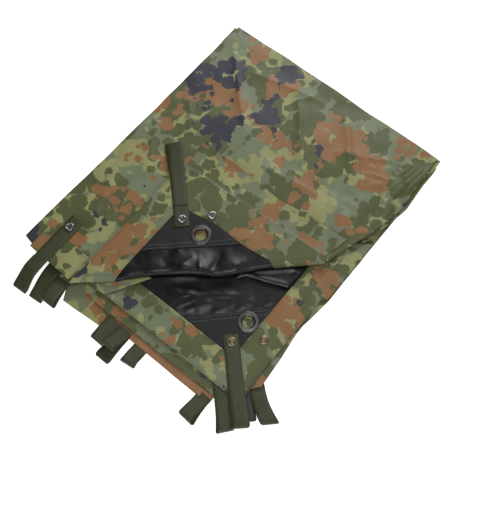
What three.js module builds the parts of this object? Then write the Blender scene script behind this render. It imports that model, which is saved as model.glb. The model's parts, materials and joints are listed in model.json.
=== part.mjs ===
// Folded bivy sack: a weatherproof sleeping-bag cover, camouflage outside and black coated inside,
// folded into a flat pack with one corner of its mouth turned back.
// Millimetres. +Z is up, -Y is the front (the mouth edge), and the origin is on the underside,
// at the middle of the pack.
import * as THREE from "three";

// ---- Driving dimensions -------------------------------------------------------------------------

const PACK = { left: -216, right: 213, front: -262, back: 262 };
const HEM_WIDTH = 50;
const WEBBING_WIDTH = 25;
const WEBBING_THICKNESS = 1.4;
const LOOP_EYE = 5;
const DARK_LOOP_WIDTH = 13;
const GAP = 0.3;

// Heights of the layers, from the surface that the pack lies on. Each layer is [underside, top].
const BASE_LAYER = [0, 3.2];
const UNDER_LAYER = [3.5, 6.6];
const LOWER_PANEL_LAYER = [9.0, 10.0];
const LOWER_FACING_LAYER = [10.3, 11.3];
const LOWER_OVERLAP_LAYER = [11.6, 12.6];
const BUNDLE_LAYER = [6.9, 17.2];
const COVER_LAYER = [17.5, 20.0];
const COVER_FACING_LAYER = [20.3, 21.2];
const STORM_LAYER = [20.4, 21.6];
const FLAP_PANEL_LAYER = [22.6, 23.6];
const FLAP_FACING_LAYER = [23.9, 24.9];

// The turned-back corner hinges on this line.
const FOLD_LEFT = [-108, -274];
const FOLD_RIGHT = [184, 4];
const FOLD_CLEARANCE = 6;

// Corner hardware, measured from a hem corner's inner point. u runs along the band beside the
// grommet, v runs into the black corner patch.
const UPPER_CORNER = { apex: [-60, -70], u: [1, 0], v: [0, -1] };
const LOWER_CORNER = { apex: [162, -207], u: [0, 1], v: [-1, 0] };
const GROMMET_AT = [58, 17];
const TAB_SNAP_AT = [17, 16];
const HEM_SNAP_AT = [50, -20];
const TAB_END_AT = [25, 25];
const PATCH_LEG = 100;
const DIAGONAL = Math.SQRT1_2;

const GROMMET = { outer: 16.5, barrel: 11.4, hole: 10, height: 1.7, washer: 1.2 };
const SNAP = { outer: 7.4, post: 2.4, height: 3.0, cap: 1.5, capRadius: 7.2 };
const DRILL = { grommet: 11.8, snap: 2.8, cap: 8 };

const ROUND_STEPS = 20;
const SNAP_STEPS = 16;
const ARC_STEPS = 6;

// ---- Materials ----------------------------------------------------------------------------------

const camouflage = new THREE.MeshStandardMaterial({ color: 0x6b6f4e, roughness: 0.75, metalness: 0 });
const russet = new THREE.MeshStandardMaterial({ color: 0x7c5a3a, roughness: 0.75, metalness: 0 });
const coated = new THREE.MeshStandardMaterial({ color: 0x1f1f23, roughness: 0.35, metalness: 0 });
const webbing = new THREE.MeshStandardMaterial({ color: 0x45482e, roughness: 0.8, metalness: 0 });
const blackWebbing = new THREE.MeshStandardMaterial({ color: 0x26272b, roughness: 0.8, metalness: 0 });
const gunmetal = new THREE.MeshStandardMaterial({ color: 0x3c3b40, roughness: 0.35, metalness: 1 });
const nickel = new THREE.MeshStandardMaterial({ color: 0x6e6d70, roughness: 0.3, metalness: 1 });
const antiqueBrass = new THREE.MeshStandardMaterial({ color: 0x7d6a4a, roughness: 0.35, metalness: 1 });

// ---- Helpers ------------------------------------------------------------------------------------

const pack = new THREE.Group();

function addMesh(name, geometry, material) {
  const mesh = new THREE.Mesh(geometry, material);
  mesh.name = name;
  pack.add(mesh);
  return mesh;
}

// A flat layer of fabric: an outline in plan, extruded between two heights, with round holes.
function addLayer(name, outline, layer, material, drills = []) {
  const shape = new THREE.Shape(outline.map(([x, y]) => new THREE.Vector2(x, y)));
  for (const { at, radius } of drills) {
    const hole = new THREE.Path();
    hole.absarc(at[0], at[1], radius, 0, Math.PI * 2, true);
    shape.holes.push(hole);
  }
  const options = { depth: layer[1] - layer[0], bevelEnabled: false, curveSegments: ROUND_STEPS / 2 };
  const mesh = addMesh(name, new THREE.ExtrudeGeometry(shape, options), material);
  mesh.position.z = layer[0];
}

// A turned piece: a closed profile of [radius, height] points, spun about a vertical axis.
function addTurned(name, profile, at, height, steps, material) {
  const points = profile.map(([radius, level]) => new THREE.Vector2(radius, level));
  const mesh = addMesh(name, new THREE.LatheGeometry(points, steps), material);
  mesh.rotation.x = Math.PI / 2;
  mesh.position.set(at[0], at[1], height);
}

function cornerPoint(corner, [u, v]) {
  return [0, 1].map((i) => corner.apex[i] + corner.u[i] * u + corner.v[i] * v);
}

// The four corners of a strip of webbing between two points.
function stripOutline(from, to) {
  const length = Math.hypot(to[0] - from[0], to[1] - from[1]);
  const side = [-(to[1] - from[1]) / length, (to[0] - from[0]) / length].map((d) => d * WEBBING_WIDTH / 2);
  return [
    [from[0] - side[0], from[1] - side[1]],
    [to[0] - side[0], to[1] - side[1]],
    [to[0] + side[0], to[1] + side[1]],
    [from[0] + side[0], from[1] + side[1]],
  ];
}

// A strip of webbing doubled back on itself. It runs level from its root for a while, then slopes
// to its tip, where the stiff webbing springs open into an eye. An eye of radius 0 lies flat.
function addLoop(name, placing) {
  const { root, tip, low, tipLow = low, level = 0, eye = 0, width = WEBBING_WIDTH } = placing;
  const { material = webbing } = placing;
  const length = Math.hypot(tip[0] - root[0], tip[1] - root[1]);
  const doubled = WEBBING_THICKNESS * 2;
  const radius = Math.max(eye, WEBBING_THICKNESS);
  const end = length - radius;
  const shape = new THREE.Shape();
  shape.moveTo(0, low);
  if (level > 0) shape.lineTo(level, low);
  shape.lineTo(end, tipLow);
  shape.absarc(end, tipLow + radius, radius, -Math.PI / 2, Math.PI / 2, false);
  if (level > 0) shape.lineTo(level, low + doubled);
  shape.lineTo(0, low + doubled);
  if (eye > 0) {
    const start = Math.max(level, end * 0.35) + 4;
    const share = level > 0 ? (start - level) / (end - level) : start / end;
    const middle = (low + WEBBING_THICKNESS) * (1 - share) + (tipLow + radius) * share;
    const inner = radius - WEBBING_THICKNESS;
    const hole = new THREE.Path();
    hole.moveTo(start, middle);
    hole.lineTo(end, tipLow + WEBBING_THICKNESS + inner * 2);
    hole.absarc(end, tipLow + radius, inner, Math.PI / 2, -Math.PI / 2, true);
    shape.holes.push(hole);
  }
  const options = { depth: width, bevelEnabled: false, curveSegments: ARC_STEPS };
  const mesh = addMesh(name, new THREE.ExtrudeGeometry(shape, options), material);
  const heading = Math.atan2(tip[1] - root[1], tip[0] - root[0]);
  mesh.rotation.order = "ZYX";
  mesh.rotation.set(Math.PI / 2, 0, heading);
  mesh.position.set(
    root[0] - Math.sin(heading) * width / 2,
    root[1] + Math.cos(heading) * width / 2,
    0,
  );
}

// A grommet: a flanged barrel through the fabric and a washer clinched under it.
function addGrommet(name, at, fabricLow, fabricHigh) {
  const { outer, barrel, hole, height, washer } = GROMMET;
  const top = fabricHigh + GAP;
  const low = fabricLow - GAP - washer;
  const eyelet = [
    [hole, low],
    [barrel, low],
    [barrel, top],
    [outer, top],
    [outer - 0.8, top + height * 0.7],
    [outer - 3, top + height],
    [hole + 1.2, top + height * 0.8],
    [hole, top + 0.4],
    [hole, low],
  ];
  const ring = [
    [barrel + GAP, low],
    [outer - 1, low],
    [outer - 1, low + washer],
    [barrel + GAP, low + washer],
    [barrel + GAP, low],
  ];
  addTurned(`${name}_eyelet`, eyelet, at, 0, ROUND_STEPS, gunmetal);
  addTurned(`${name}_washer`, ring, at, 0, ROUND_STEPS, gunmetal);
}

// A press fastener half: a cap with a post under the fabric, and a socket or a stud on top of it.
function addSnap(name, kind, at, fabricLow, fabricHigh) {
  const { outer, post, height, cap, capRadius } = SNAP;
  const capTop = fabricLow - GAP;
  const top = fabricHigh + GAP;
  const capProfile = [
    [0, capTop - cap],
    [capRadius - 1.5, capTop - cap],
    [capRadius, capTop - cap / 2],
    [capRadius, capTop],
    [post, capTop],
    [post, top + 0.9],
    [0, top + 0.9],
  ];
  const socketProfile = [
    [post + GAP, top],
    [outer, top],
    [outer, top + height * 0.5],
    [outer - 1, top + height],
    [outer - 2.6, top + height],
    [outer - 3.2, top + 1.2],
    [post + GAP, top + 1.2],
    [post + GAP, top],
  ];
  const studProfile = [
    [post + GAP, top],
    [outer, top],
    [outer - 0.3, top + 1.1],
    [outer - 2.4, top + 1.2],
    [outer - 3.4, top + height],
    [post + GAP + 0.3, top + height],
    [post + GAP, top + height - 0.4],
    [post + GAP, top],
  ];
  const metal = kind === "socket" ? nickel : antiqueBrass;
  addTurned(`${name}_cap`, capProfile, at, 0, SNAP_STEPS, metal);
  addTurned(`${name}_${kind}`, kind === "socket" ? socketProfile : studProfile, at, 0, SNAP_STEPS, metal);
}

// ---- The folded sack ----------------------------------------------------------------------------

function addFoldedSack() {
  const { left, right, front, back } = PACK;
  addLayer("base_panel", [[left, front], [right, front], [right, back], [left, back]], BASE_LAYER, camouflage);
  addLayer(
    "under_panel",
    [[left + 3, -256], [-60, -274], [172, -271], [224, -216], [214, -100], [220, -40], [220, 258], [left + 3, 258]],
    UNDER_LAYER,
    camouflage,
  );
  addLayer("lower_front_hem", [[-34, -285], [178, -285], [178, front - GAP], [-34, front - GAP]], BASE_LAYER, russet);
  addLayer(
    "lower_left_fold",
    [[-128, front - GAP], [-106, -303], [-40, -297], [-35, front - GAP]],
    BASE_LAYER,
    camouflage,
  );
  addLayer("sack_fold_left", [[left, -262], [-122, -262], [-122, 260], [left, 260]], BUNDLE_LAYER, camouflage);
  addLayer("sack_fold_back", [[-121.5, -159], [216, 91], [216, 262], [-121.5, 262]], BUNDLE_LAYER, camouflage);
}

// ---- The cover: the top layer, outer side up ----------------------------------------------------

const LEFT_SNAP = [-175, -209];

function addCover() {
  const outline = [
    [-221, -264], [-202, -268], FOLD_LEFT, FOLD_RIGHT, [190, 58], [223, 81], [226, 118], [224, 155], [213, 266],
    [-211, 264],
  ];
  addLayer("cover_panel", outline, COVER_LAYER, camouflage, [{ at: LEFT_SNAP, radius: DRILL.cap }]);
  addLayer(
    "cover_front_hem",
    [[-203, -272], [-116, -275], [-116, -228], [-203, -226]],
    COVER_FACING_LAYER,
    camouflage,
  );
}

// ---- The lower mouth panel and its corner -------------------------------------------------------

function addLowerMouth() {
  const { apex } = LOWER_CORNER;
  const right = apex[0] + HEM_WIDTH - 1;
  const front = apex[1] - HEM_WIDTH + 1;
  const grommet = { at: cornerPoint(LOWER_CORNER, GROMMET_AT), radius: DRILL.grommet };
  const tabSnap = { at: cornerPoint(LOWER_CORNER, TAB_SNAP_AT), radius: DRILL.snap };
  const hemSnap = { at: cornerPoint(LOWER_CORNER, HEM_SNAP_AT), radius: DRILL.snap };
  addLayer(
    "lower_mouth_panel",
    [[-110, front], [right, front], [right, 76], [-110, -160]],
    LOWER_PANEL_LAYER,
    coated,
    [grommet, tabSnap, hemSnap],
  );
  addLayer(
    "lower_corner_patch",
    [
      [apex[0] - GAP, apex[1] + GAP],
      [apex[0] - GAP, apex[1] + PATCH_LEG],
      [apex[0] - PATCH_LEG, apex[1] + GAP],
    ],
    LOWER_FACING_LAYER,
    coated,
    [grommet, tabSnap],
  );
  addLayer(
    "lower_hem_front",
    [[-58, front], [right - GAP * 2, front], [apex[0] - GAP, apex[1]], [-28, apex[1]]],
    LOWER_FACING_LAYER,
    camouflage,
  );
  addLayer(
    "lower_hem_side",
    [[right, front + GAP * 2], [right, 74], [apex[0], 38], [apex[0], apex[1] + GAP]],
    LOWER_FACING_LAYER,
    camouflage,
    [hemSnap],
  );
  addLayer("side_overlap", [[161, -14], [205, -46], [219, -46], [219, 78], [161, 35]], LOWER_OVERLAP_LAYER, camouflage);
  addGrommet("lower_grommet", grommet.at, LOWER_PANEL_LAYER[0], LOWER_FACING_LAYER[1]);
  addSnap("lower_hem_snap", "stud", hemSnap.at, LOWER_PANEL_LAYER[0], LOWER_FACING_LAYER[1]);
}

// ---- The turned-back corner of the mouth --------------------------------------------------------

const FLAP_OUTER_CORNER = [-107, -8];
const FLAP_RIGHT_END = [176, 9];
const FLAP_HEM_TIP_SHARE = 0.88;

// A point on the fold line at a given share of its length, moved onto the flap by the clearance.
function besideFold(share, clearance = FOLD_CLEARANCE) {
  const run = [FOLD_RIGHT[0] - FOLD_LEFT[0], FOLD_RIGHT[1] - FOLD_LEFT[1]];
  const length = Math.hypot(...run);
  return [
    FOLD_LEFT[0] + run[0] * share - (run[1] / length) * clearance,
    FOLD_LEFT[1] + run[1] * share + (run[0] / length) * clearance,
  ];
}

function addFlap() {
  const { apex } = UPPER_CORNER;
  const grommet = { at: cornerPoint(UPPER_CORNER, GROMMET_AT), radius: DRILL.grommet };
  const tabSnap = { at: cornerPoint(UPPER_CORNER, TAB_SNAP_AT), radius: DRILL.snap };
  const hemSnap = { at: cornerPoint(UPPER_CORNER, HEM_SNAP_AT), radius: DRILL.snap };
  const hemStart = [-111, besideFold(0)[1]];
  addLayer(
    "flap_panel",
    [hemStart, besideFold(0.03), besideFold(0.97), FLAP_RIGHT_END, FLAP_OUTER_CORNER],
    FLAP_PANEL_LAYER,
    coated,
    [grommet, tabSnap, hemSnap],
  );
  addLayer(
    "flap_corner_patch",
    [[apex[0] + GAP, apex[1] - PATCH_LEG], [77, -41], [apex[0] + GAP, apex[1] - GAP]],
    FLAP_FACING_LAYER,
    coated,
    [grommet, tabSnap],
  );
  addLayer(
    "flap_hem_left",
    [hemStart, besideFold(0.03), [apex[0], -221], apex, FLAP_OUTER_CORNER],
    FLAP_FACING_LAYER,
    camouflage,
  );
  addLayer(
    "flap_hem_top",
    [
      [apex[0] + GAP * 1.5, apex[1] + GAP],
      besideFold(FLAP_HEM_TIP_SHARE),
      besideFold(0.97),
      FLAP_RIGHT_END,
      [FLAP_OUTER_CORNER[0] + GAP * 2, FLAP_OUTER_CORNER[1] + GAP / 2],
    ],
    FLAP_FACING_LAYER,
    camouflage,
    [hemSnap],
  );
  addGrommet("flap_grommet", grommet.at, FLAP_PANEL_LAYER[0], FLAP_FACING_LAYER[1]);
  addSnap("flap_hem_snap", "socket", hemSnap.at, FLAP_PANEL_LAYER[0], FLAP_FACING_LAYER[1]);
}

// The weather strip sewn along the flap's outer edge, lying on the cover.
function addStormStrip() {
  const outline = [[-103, -6], [176, 11], [184, 58], [150, 51], [100, 47], [57, 41], [5, 44], [-49, 47], [-107, 42]];
  addLayer("storm_strip", outline, STORM_LAYER, camouflage);
}

// ---- Webbing ------------------------------------------------------------------------------------

// A corner strap: a tab sewn over the corner patch with half a press fastener, and a long loop.
function addCornerStrap(name, corner, fabricLow, fabricHigh, loopLength, kind) {
  const tabEnd = cornerPoint(corner, TAB_END_AT);
  const seam = cornerPoint(corner, [GAP, GAP]);
  const snap = cornerPoint(corner, TAB_SNAP_AT);
  const webbingLow = fabricHigh + GAP;
  const webbingHigh = webbingLow + WEBBING_THICKNESS;
  const reach = -loopLength * DIAGONAL;
  addLayer(
    `${name}_tab`,
    stripOutline(seam, tabEnd),
    [webbingLow, webbingHigh],
    webbing,
    [{ at: snap, radius: DRILL.snap }],
  );
  addLoop(`${name}_loop`, {
    root: cornerPoint(corner, [-GAP, -GAP]),
    tip: cornerPoint(corner, [reach, reach]),
    low: webbingLow,
    level: HEM_WIDTH / DIAGONAL,
    eye: LOOP_EYE,
  });
  addSnap(`${name}_snap`, kind, snap, fabricLow, webbingHigh);
}

function addLeftStrap() {
  const low = COVER_FACING_LAYER[1] + GAP;
  addLayer(
    "left_strap_tab",
    stripOutline([-174, -277], [-172, -191]),
    [low, low + WEBBING_THICKNESS],
    webbing,
    [{ at: LEFT_SNAP, radius: DRILL.snap }],
  );
  addLoop("left_strap_loop", { root: [-174, -277.6], tip: [-174, -332], low, tipLow: 7 });
}

// The peg loops along the hems. The stiff ones stand open as an eye, the others lie flat.
function addPegLoops() {
  const floor = 0.4;
  const upper = floor + WEBBING_THICKNESS * 2 + GAP;
  addLoop("left_loop_outer", { root: [-145, -276], tip: [-142, -331], low: 8, tipLow: floor });
  addLoop("left_loop_inner", { root: [-119, -276], tip: [-116, -324], low: 8, tipLow: floor });
  addLoop("middle_loop_left", { root: [-20.5, -286], tip: [-22, -320], low: upper });
  addLoop("middle_loop_centre", { root: [5.3, -286], tip: [5, -317], low: upper });
  addLoop("middle_loop_small", { root: [5.3, -286], tip: [5.3, -336], low: floor });
  addLoop("middle_loop_right", { root: [41, -286], tip: [41, -318], low: floor, eye: LOOP_EYE });
  addLoop("corner_loop_left", { root: [165.5, -286], tip: [165, -325], low: floor, eye: LOOP_EYE });
  addLoop("corner_loop_front", { root: [191.5, -274], tip: [223, -304.6], low: floor, eye: LOOP_EYE });
  addLoop("corner_loop_side", { root: [228, -216], tip: [270, -252], low: floor, eye: LOOP_EYE });
  addLoop("corner_loop_dark", {
    root: [224, -240.3],
    tip: [247, -263.3],
    low: floor,
    width: DARK_LOOP_WIDTH,
    material: blackWebbing,
  });
}

addFoldedSack();
addCover();
addLowerMouth();
addFlap();
addStormStrip();
addCornerStrap("lower_strap", LOWER_CORNER, LOWER_PANEL_LAYER[0], LOWER_FACING_LAYER[1], 111, "stud");
addCornerStrap("flap_strap", UPPER_CORNER, FLAP_PANEL_LAYER[0], FLAP_FACING_LAYER[1], 121, "socket");
addLeftStrap();
addSnap("left_strap_snap", "socket", LEFT_SNAP, COVER_FACING_LAYER[0], COVER_FACING_LAYER[1] + GAP + WEBBING_THICKNESS);
addPegLoops();

export default pack;
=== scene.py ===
"""Looks for the folded bivy sack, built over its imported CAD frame.

Lengths are millimetres, as in the part's source, until a mesh is made: Blender's are metres.
Every cloth piece is cut as a flat outline and laid on a surface, a function that takes flat
x and y and gives points in space. Pieces sewn on top use the same surface with a lift.
"""

import json
import math

import bpy
import numpy as np
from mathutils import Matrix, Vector
from mathutils.geometry import delaunay_2d_cdt


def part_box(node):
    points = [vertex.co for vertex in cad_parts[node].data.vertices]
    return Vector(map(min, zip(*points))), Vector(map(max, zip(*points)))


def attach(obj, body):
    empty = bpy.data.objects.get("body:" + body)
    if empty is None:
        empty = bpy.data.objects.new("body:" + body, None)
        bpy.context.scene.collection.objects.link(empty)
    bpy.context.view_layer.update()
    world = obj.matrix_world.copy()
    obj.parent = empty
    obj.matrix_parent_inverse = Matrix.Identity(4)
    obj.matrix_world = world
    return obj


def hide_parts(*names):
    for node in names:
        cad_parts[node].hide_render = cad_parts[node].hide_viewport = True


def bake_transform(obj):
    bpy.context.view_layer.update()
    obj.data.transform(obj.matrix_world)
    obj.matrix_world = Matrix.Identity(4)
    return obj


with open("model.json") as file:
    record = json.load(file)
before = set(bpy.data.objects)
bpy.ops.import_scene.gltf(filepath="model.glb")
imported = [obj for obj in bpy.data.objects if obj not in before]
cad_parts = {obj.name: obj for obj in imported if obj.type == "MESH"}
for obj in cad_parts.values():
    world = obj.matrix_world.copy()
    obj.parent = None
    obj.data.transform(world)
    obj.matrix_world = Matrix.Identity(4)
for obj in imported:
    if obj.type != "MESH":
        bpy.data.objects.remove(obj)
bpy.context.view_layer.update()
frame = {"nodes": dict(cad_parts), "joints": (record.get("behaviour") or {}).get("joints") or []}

MM = 0.001

# ---- Reading the frame ----


def node_points(node):
    """A CAD node's points, in millimetres."""
    mesh = frame["nodes"][node].data
    values = np.empty(len(mesh.vertices) * 3, np.float32)
    mesh.vertices.foreach_get("co", values)
    return values.reshape(-1, 3).astype(float) / MM


def node_levels(node):
    """The lowest and the highest point of a CAD node."""
    points = node_points(node)
    return points[:, 2].min(), points[:, 2].max()


def signed_area(loop):
    x, y = np.array(loop).T
    return 0.5 * np.sum(x * np.roll(y, -1) - y * np.roll(x, -1))


def node_loops(node):
    """The outline of a flat node's underside, then its holes, as lists of plan points."""
    points = node_points(node)
    keys = [tuple(np.round(p[:2], 2)) for p in points]
    floor = points[:, 2].min() + 0.05
    following = {}
    for polygon in frame["nodes"][node].data.polygons:
        corners = list(polygon.vertices)
        if max(points[v][2] for v in corners) > floor:
            continue
        for a, b in zip(corners, corners[1:] + corners[:1]):
            if following.get(keys[b]) and keys[a] in following[keys[b]]:
                following[keys[b]].remove(keys[a])
            else:
                following.setdefault(keys[a], []).append(keys[b])
    loops = []
    while any(following.values()):
        start = next(k for k, ends in following.items() if ends)
        loop, here = [], start
        while following.get(here):
            loop.append(here)
            here = following[here].pop()
        loops.append(loop)
    loops.sort(key=lambda loop: -abs(signed_area(loop)))
    return [loop if signed_area(loop) > 0 else loop[::-1] for loop in loops]


def joint(name):
    return next(j for j in frame["joints"] if j["name"] == name)


def joint_place(name):
    """The plan point a hinge's axis goes through."""
    return np.array(joint(name)["pos_m"][:2]) / MM


def node_centre(node):
    low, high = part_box(node)
    return np.array((low + high) / 2)[:2] / MM


# ---- Noise and relief ----


def smooth(t):
    t = np.clip(t, 0, 1)
    return t * t * (3 - 2 * t)


def ripple(x, y, size, seed):
    """Soft random relief between about -1 and 1, with bumps about size across."""
    table = np.random.default_rng(seed).uniform(-1, 1, (64, 64))
    u, v = x / size, y / size
    i, j = np.floor(u).astype(int), np.floor(v).astype(int)
    a, b = smooth(u - i), smooth(v - j)

    def corner(k, l):
        return table[(i + k) % 64, (j + l) % 64]

    near = corner(0, 0) * (1 - a) + corner(1, 0) * a
    far = corner(0, 1) * (1 - a) + corner(1, 1) * a
    return near * (1 - b) + far * b


def crease(x, y, start, end, height, width):
    """A ridge from start to end with a sharp crest that fades at both ends."""
    run = np.subtract(end, start)
    length = np.hypot(*run)
    along = ((x - start[0]) * run[0] + (y - start[1]) * run[1]) / length**2
    across = ((x - start[0]) * run[1] - (y - start[1]) * run[0]) / length
    across = across + 2.0 * ripple(x, y, 25, 7)
    window = smooth(along * 4) * smooth((1 - along) * 4)
    return height * window * np.exp(-np.abs(across) / width)


def creases(x, y, lines, width):
    """The sum of several creases, given as (start, end, height)."""
    return sum(crease(x, y, start, end, height, width) for start, end, height in lines)


def hump(x, y, centre, radius):
    """1 at the centre, falling to 0 about two radii away."""
    return np.exp(-((x - centre[0]) ** 2 + (y - centre[1]) ** 2) / radius**2)


def rim_distance(points, loops):
    """How far each plan point is from the nearest edge of the loops."""
    starts = np.concatenate([np.array(loop) for loop in loops])
    ends = np.concatenate([np.roll(np.array(loop), -1, axis=0) for loop in loops])
    runs = ends - starts
    lengths = np.maximum((runs**2).sum(1), 1e-9)
    nearest = np.empty(len(points))
    for first in range(0, len(points), 2000):
        chunk = points[first : first + 2000, None, :] - starts[None]
        share = np.clip((chunk * runs).sum(2) / lengths, 0, 1)
        nearest[first : first + 2000] = np.linalg.norm(chunk - share[..., None] * runs, axis=2).min(1)
    return nearest


def inside(points, loops):
    """Even-odd test of plan points against an outline and its holes."""
    odd = np.zeros(len(points), bool)
    x, y = points[:, 0], points[:, 1]
    for loop in loops:
        corners = np.array(loop)
        for (ax, ay), (bx, by) in zip(corners, np.roll(corners, -1, axis=0)):
            if ay == by:
                continue
            spans = (ay > y) != (by > y)
            odd ^= spans & (x < ax + (y - ay) * (bx - ax) / (by - ay))
    return odd


# ---- Cutting and laying cloth ----

# A sheet's edge is rounded over a narrow rim: where its rings lie, as shares of the rim's width,
# and the least share that a point at the very edge counts as.
RIM_SHARES = (0.15, 0.5, 1.0)
LEAST_SHARE = 0.03


def dense(loop, step):
    """The loop again, with points at most step apart."""
    made = []
    corners = np.array(loop)
    for a, b in zip(corners, np.roll(corners, -1, axis=0)):
        count = max(1, math.ceil(np.hypot(*(b - a)) / step))
        made.extend(a + (b - a) * k / count for k in range(count))
    return np.array(made)


def inset(loop, distance, is_hole):
    """The loop moved into the cloth by a distance."""
    run = np.roll(loop, -1, axis=0) - np.roll(loop, 1, axis=0)
    run /= np.maximum(np.linalg.norm(run, axis=1, keepdims=True), 1e-9)
    inward = np.stack([-run[:, 1], run[:, 0]], axis=1)
    return loop + inward * (-distance if is_hole else distance)


def cut(loops, step, edge, rim_step):
    """Triangulates an outline with holes: its rim, rings just inside the rim, and an even grid."""
    rims = [dense(loop, rim_step) for loop in loops]
    points, edges = [], []
    for rim in rims:
        first = len(points)
        points.extend(rim)
        edges.extend((first + k, first + (k + 1) % len(rim)) for k in range(len(rim)))
    for share in RIM_SHARES:
        for k, rim in enumerate(rims):
            points.extend(inset(rim, edge * share, k > 0))
    low, high = rims[0].min(0), rims[0].max(0)
    rows = np.arange(low[1] + step / 2, high[1], step * 0.866)
    grid = [
        (x + (step / 2 if k % 2 else 0), y)
        for k, y in enumerate(rows)
        for x in np.arange(low[0] + step / 4, high[0], step)
    ]
    if grid:
        grid = np.array(grid)
        clear = inside(grid, rims) & (rim_distance(grid, rims) > edge + min(step, rim_step * 1.5) * 0.6)
        points.extend(grid[clear])
    flat, _, faces, *_ = delaunay_2d_cdt([Vector(p) for p in points], edges, [], 0, 1e-4)
    flat = np.array([tuple(p) for p in flat])
    faces = np.array([f for f in faces if len(f) == 3])
    faces = faces[inside(flat[faces].mean(1), rims)]
    a, b, c = flat[faces[:, 0]], flat[faces[:, 1]], flat[faces[:, 2]]
    turn = (b[:, 0] - a[:, 0]) * (c[:, 1] - a[:, 1]) - (b[:, 1] - a[:, 1]) * (c[:, 0] - a[:, 0])
    faces[turn < 0] = faces[turn < 0][:, ::-1]
    used, faces = np.unique(faces[np.abs(turn) > 1e-6], return_inverse=True)
    flat = flat[used]
    return flat, faces.reshape(-1, 3), rim_distance(flat, rims)


def open_edges(faces):
    """The edges that only one triangle has, each in that triangle's direction."""
    directed = {(a, b) for face in faces.tolist() for a, b in zip(face, face[1:] + face[:1])}
    return sorted((a, b) for a, b in directed if (b, a) not in directed)


def normals_of(surface, x, y):
    """The upward normals of a surface at plan points."""
    reach = 0.4
    across = surface(x + reach, y) - surface(x - reach, y)
    along = surface(x, y + reach) - surface(x, y - reach)
    normal = np.cross(across, along)
    return normal / np.linalg.norm(normal, axis=1, keepdims=True)


def make_mesh(name, points, faces, materials, material_of_face=None, uv=None):
    """A smooth mesh object from millimetre points. uv is one pair of metres for each point."""
    mesh = bpy.data.meshes.new(name)
    mesh.from_pydata((np.asarray(points) * MM).tolist(), [], [list(map(int, f)) for f in faces])
    for material in materials:
        mesh.materials.append(material)
    if material_of_face is not None:
        mesh.polygons.foreach_set("material_index", np.asarray(material_of_face, np.int32))
    mesh.polygons.foreach_set("use_smooth", np.ones(len(faces), bool))
    if uv is not None:
        corner_points = np.empty(len(mesh.loops), np.int32)
        mesh.loops.foreach_get("vertex_index", corner_points)
        layer = mesh.uv_layers.new(name="Rest")
        layer.data.foreach_set("uv", np.asarray(uv, np.float32)[corner_points].ravel())
    mesh.validate()
    made = bpy.data.objects.new(name, mesh)
    bpy.context.scene.collection.objects.link(made)
    return made


def cloth(name, loops, surface, materials, thick, step, lift=0.0, rim_step=3.0, print_at=(0, 0)):
    """A closed sheet of cloth with rounded edges. materials are those of its upper and under side.
    print_at moves the printed pattern, so that no two pieces show the same stretch of it."""
    edge = max(thick * 0.6, 0.5)
    flat, faces, depth = cut(loops, step, edge, rim_step)
    x, y = flat.T
    normal = normals_of(surface, x, y)
    middle = surface(x, y) + normal * lift
    share = np.clip(depth / edge, LEAST_SHARE, 1)
    half = (thick / 2 * np.sqrt(1 - (1 - share) ** 2))[:, None]
    points = np.concatenate([middle + normal * half, middle - normal * half])
    uv = (np.tile(flat, (2, 1)) + np.array(print_at) * 1000) * MM
    count = len(flat)
    walls = [(b, a, a + count, b + count) for a, b in open_edges(faces)]
    every_face = [*faces.tolist(), *(faces[:, ::-1] + count).tolist(), *walls]
    sides = [0] * len(faces) + [len(materials) - 1] * len(faces) + [0] * len(walls)
    made = make_mesh(name, points, every_face, materials, sides, uv)
    made["flat_area"] = float(abs(signed_area(loops[0]))) * MM * MM
    size = np.ptp(np.array(loops[0]), axis=0) * MM
    made["flat_size"] = [float(s) for s in size]
    return made


def settle(piece, body, slot, *nodes):
    """Lets a finished piece move with a body and stand for CAD nodes, which it hides. slot is not used."""
    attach(piece, body)
    if nodes:
        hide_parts(*nodes)


def bend(piece):
    """Bakes a piece's transform into its mesh."""
    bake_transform(piece)


# ---- Materials ----


def linear(hex_colour):
    """An sRGB hex colour as linear RGBA."""
    values = [int(hex_colour[k : k + 2], 16) / 255 for k in (1, 3, 5)]
    return tuple(v / 12.92 if v <= 0.04045 else ((v + 0.055) / 1.055) ** 2.4 for v in values) + (1.0,)


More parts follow.
